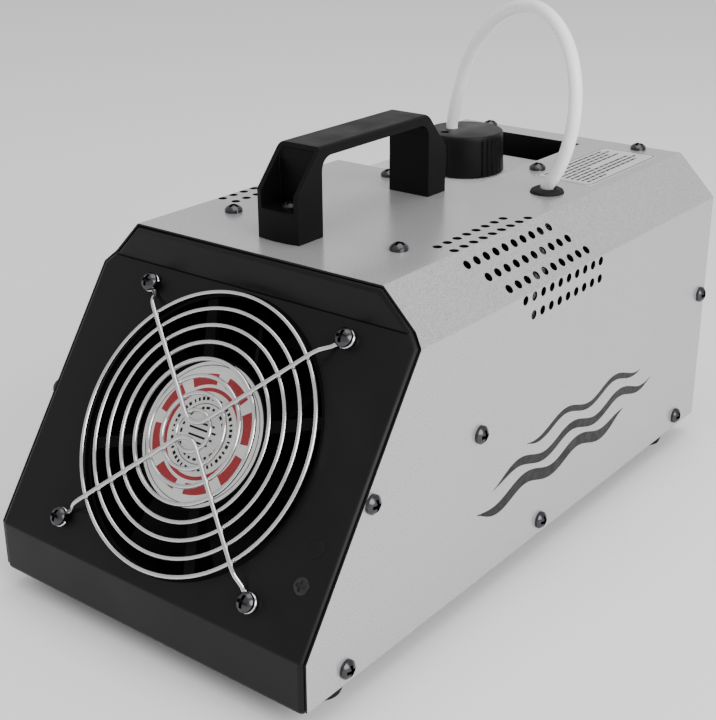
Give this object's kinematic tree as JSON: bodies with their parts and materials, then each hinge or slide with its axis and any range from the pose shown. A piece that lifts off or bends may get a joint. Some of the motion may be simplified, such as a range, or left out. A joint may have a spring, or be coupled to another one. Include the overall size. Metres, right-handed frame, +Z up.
{
  "type": "haze machine",
  "caption": "Haze machine with a sloped fan front, wire finger guard, top carrying handle, drop-in fluid tank with a screw cap and a looped feed hose.",
  "frame": {"origin": "on the ground under the middle of the machine, without its hose", "axes": "+Z up, +Y from the fan front to the rear panel, +X to the right when looking along +Y"},
  "size_m": [0.1774, 0.339, 0.2344],
  "materials": {
    "silver_paint": "light silver grey powder coat, fine speckle, semi gloss",
    "black_paint": "black powder coat, semi gloss",
    "plain_steel": "zinc plated steel",
    "dark_screws": "dark nickel plated",
    "black_screw": "black oxide",
    "guard_chrome": "bright chrome plated wire",
    "handle_plastic": "moulded, satin",
    "black_plastic": "moulded, satin",
    "rubber": "matt",
    "tank_plastic": "natural polyethylene, slightly cloudy",
    "hose_plastic": "milky translucent",
    "label_print": "printed film",
    "copper_core": "copper windings on a steel core",
    "brass": "plain",
    "bright_steel": "ground stainless steel",
    "aluminium": "cast",
    "mineral_wool": "felted",
    "circuit_board": "solder mask green",
    "board_components": "moulded cases",
    "red_plastic": "glossy",
    "green_lens": "clear tinted"
  },
  "bodies": {
    "housing": {"cover": "silver_paint", "chassis": "black_paint", "rear_panel": "black_paint", "mid_frame": "plain_steel", "handle": "handle_plastic", "handle_screws": "black_screw", "handle_nuts": "plain_steel", "cover_screws_top": "dark_screws", "cover_screws_right": "dark_screws", "cover_screws_left": "dark_screws", "lip_screw": "black_screw", "tank_bay": "plain_steel", "feet": "rubber", "foot_screws": "dark_screws", "fan_frame": "black_paint", "fan_label": "label_print", "fan_stator": "copper_core", "fan_bearings": "brass", "guard_rings": "guard_chrome", "guard_spokes": "guard_chrome", "guard_screws": "dark_screws", "guard_nuts": "plain_steel", "tank": "tank_plastic", "feed_hose": "hose_plastic", "grommet": "rubber", "inner_hose": "hose_plastic", "pump_body": "brass", "pump_coil": "black_plastic", "pump_bracket": "plain_steel", "pump_spring": "plain_steel", "pressure_tube": "brass", "heater_block": "aluminium", "heater_insulation": "mineral_wool", "heater_shell": "plain_steel", "heater_spacers": "hose_plastic", "thermostats": "black_plastic", "nozzle": "brass", "power_board": "circuit_board", "board_parts": "board_components", "board_spacers": "brass", "control_board": "circuit_board", "potentiometers": "plain_steel", "button_spring": "plain_steel", "status_light": "green_lens", "remote_socket": "black_plastic", "power_inlet": "black_plastic", "switch_body": "black_plastic", "rating_plate": "label_print"},
    "fan": {"fan_rotor": "black_plastic", "fan_shaft": "plain_steel"},
    "cap": {"tank_cap": "black_plastic", "cap_seal": "hose_plastic", "dip_tube": "hose_plastic", "suction_filter": "hose_plastic"},
    "output_dial": {"output_knob": "black_plastic"},
    "fan_dial": {"fan_knob": "black_plastic"},
    "button": {"haze_button": "red_plastic"},
    "rocker": {"power_rocker": "red_plastic"},
    "drawer": {"fuse_drawer": "black_plastic"},
    "plunger": {"pump_plunger": "bright_steel"}
  },
  "joints": [
    {"name": "fan_spin", "type": "hinge", "parent": "housing", "child": "fan", "pos_m": [0.001, -0.1325, 0.08544], "axis": [0, -0.8222, 0.5692], "continuous": true},
    {"name": "cap_turn", "type": "hinge", "parent": "housing", "child": "cap", "pos_m": [-0.0295, 0.1005, 0.149], "axis": [0, 0, 1], "range_deg": [0, 60], "deforming": ["feed_hose"]},
    {"name": "output_turn", "type": "hinge", "parent": "housing", "child": "output_dial", "pos_m": [0.066, 0.1555, 0.121], "axis": [0, 1, 0], "range_deg": [-135, 135]},
    {"name": "fan_speed_turn", "type": "hinge", "parent": "housing", "child": "fan_dial", "pos_m": [0.04, 0.1555, 0.121], "axis": [0, 1, 0], "range_deg": [-135, 135]},
    {"name": "button_press", "type": "slide", "parent": "housing", "child": "button", "axis": [0, -1, 0], "range_m": [0, 0.002], "stiffness_N_per_m": 300, "springref_m": -0.003, "deforming": ["button_spring"]},
    {"name": "rocker_tilt", "type": "hinge", "parent": "housing", "child": "rocker", "pos_m": [0.026, 0.1545, 0.081], "axis": [1, 0, 0], "range_deg": [0, 22]},
    {"name": "drawer_pull", "type": "slide", "parent": "housing", "child": "drawer", "axis": [0, 1, 0], "range_m": [0, 0.018]},
    {"name": "plunger_stroke", "type": "slide", "parent": "housing", "child": "plunger", "axis": [0, 1, 0], "range_m": [0, 0.002], "stiffness_N_per_m": 400, "deforming": ["pump_spring"]}
  ]
}
